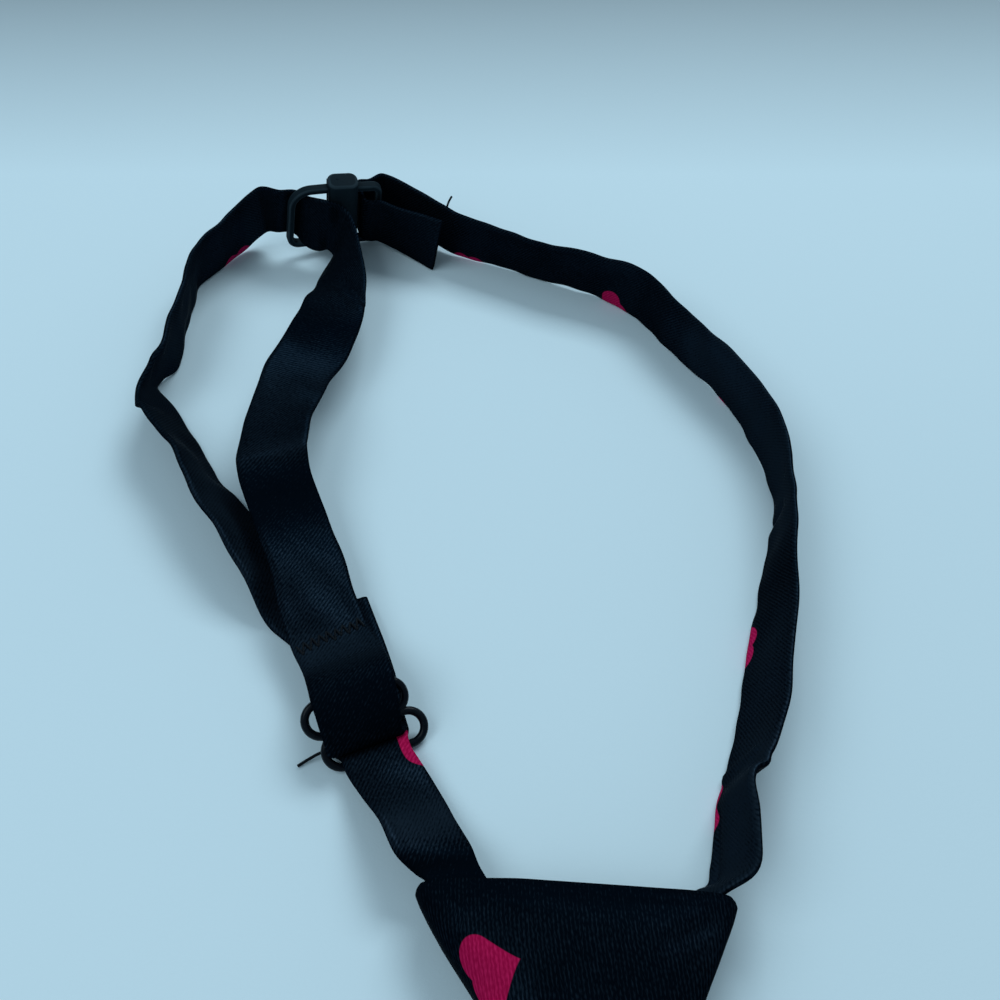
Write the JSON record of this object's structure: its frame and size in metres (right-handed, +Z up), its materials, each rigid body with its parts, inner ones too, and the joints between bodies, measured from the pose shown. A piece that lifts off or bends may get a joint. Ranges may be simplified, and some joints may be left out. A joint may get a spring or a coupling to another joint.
{
  "type": "dog necktie",
  "caption": "Dog necktie lying flat: tapered knot and pointed blade on a narrow satin neck strap with a wire slider and a hook clasp.",
  "frame": {"origin": "middle of the tie's footprint, on the surface it lies on", "axes": "+Y from the blade's tip to the clasp at the back of the neck, +X to the right seen from the blade, +Z up"},
  "size_m": [0.1438, 0.3794, 0.0236],
  "materials": {
    "satin": "black satin twill with crimson hearts",
    "slider_wire": "glossy black",
    "clasp": "satin charcoal"
  },
  "bodies": {
    "root": {"knot": "satin", "blade": "satin", "neck_strap": "satin", "adjuster_strap": "satin", "slider": "slider_wire", "clasp_ring": "clasp", "clasp_hook": "clasp"}
  },
  "joints": []
}
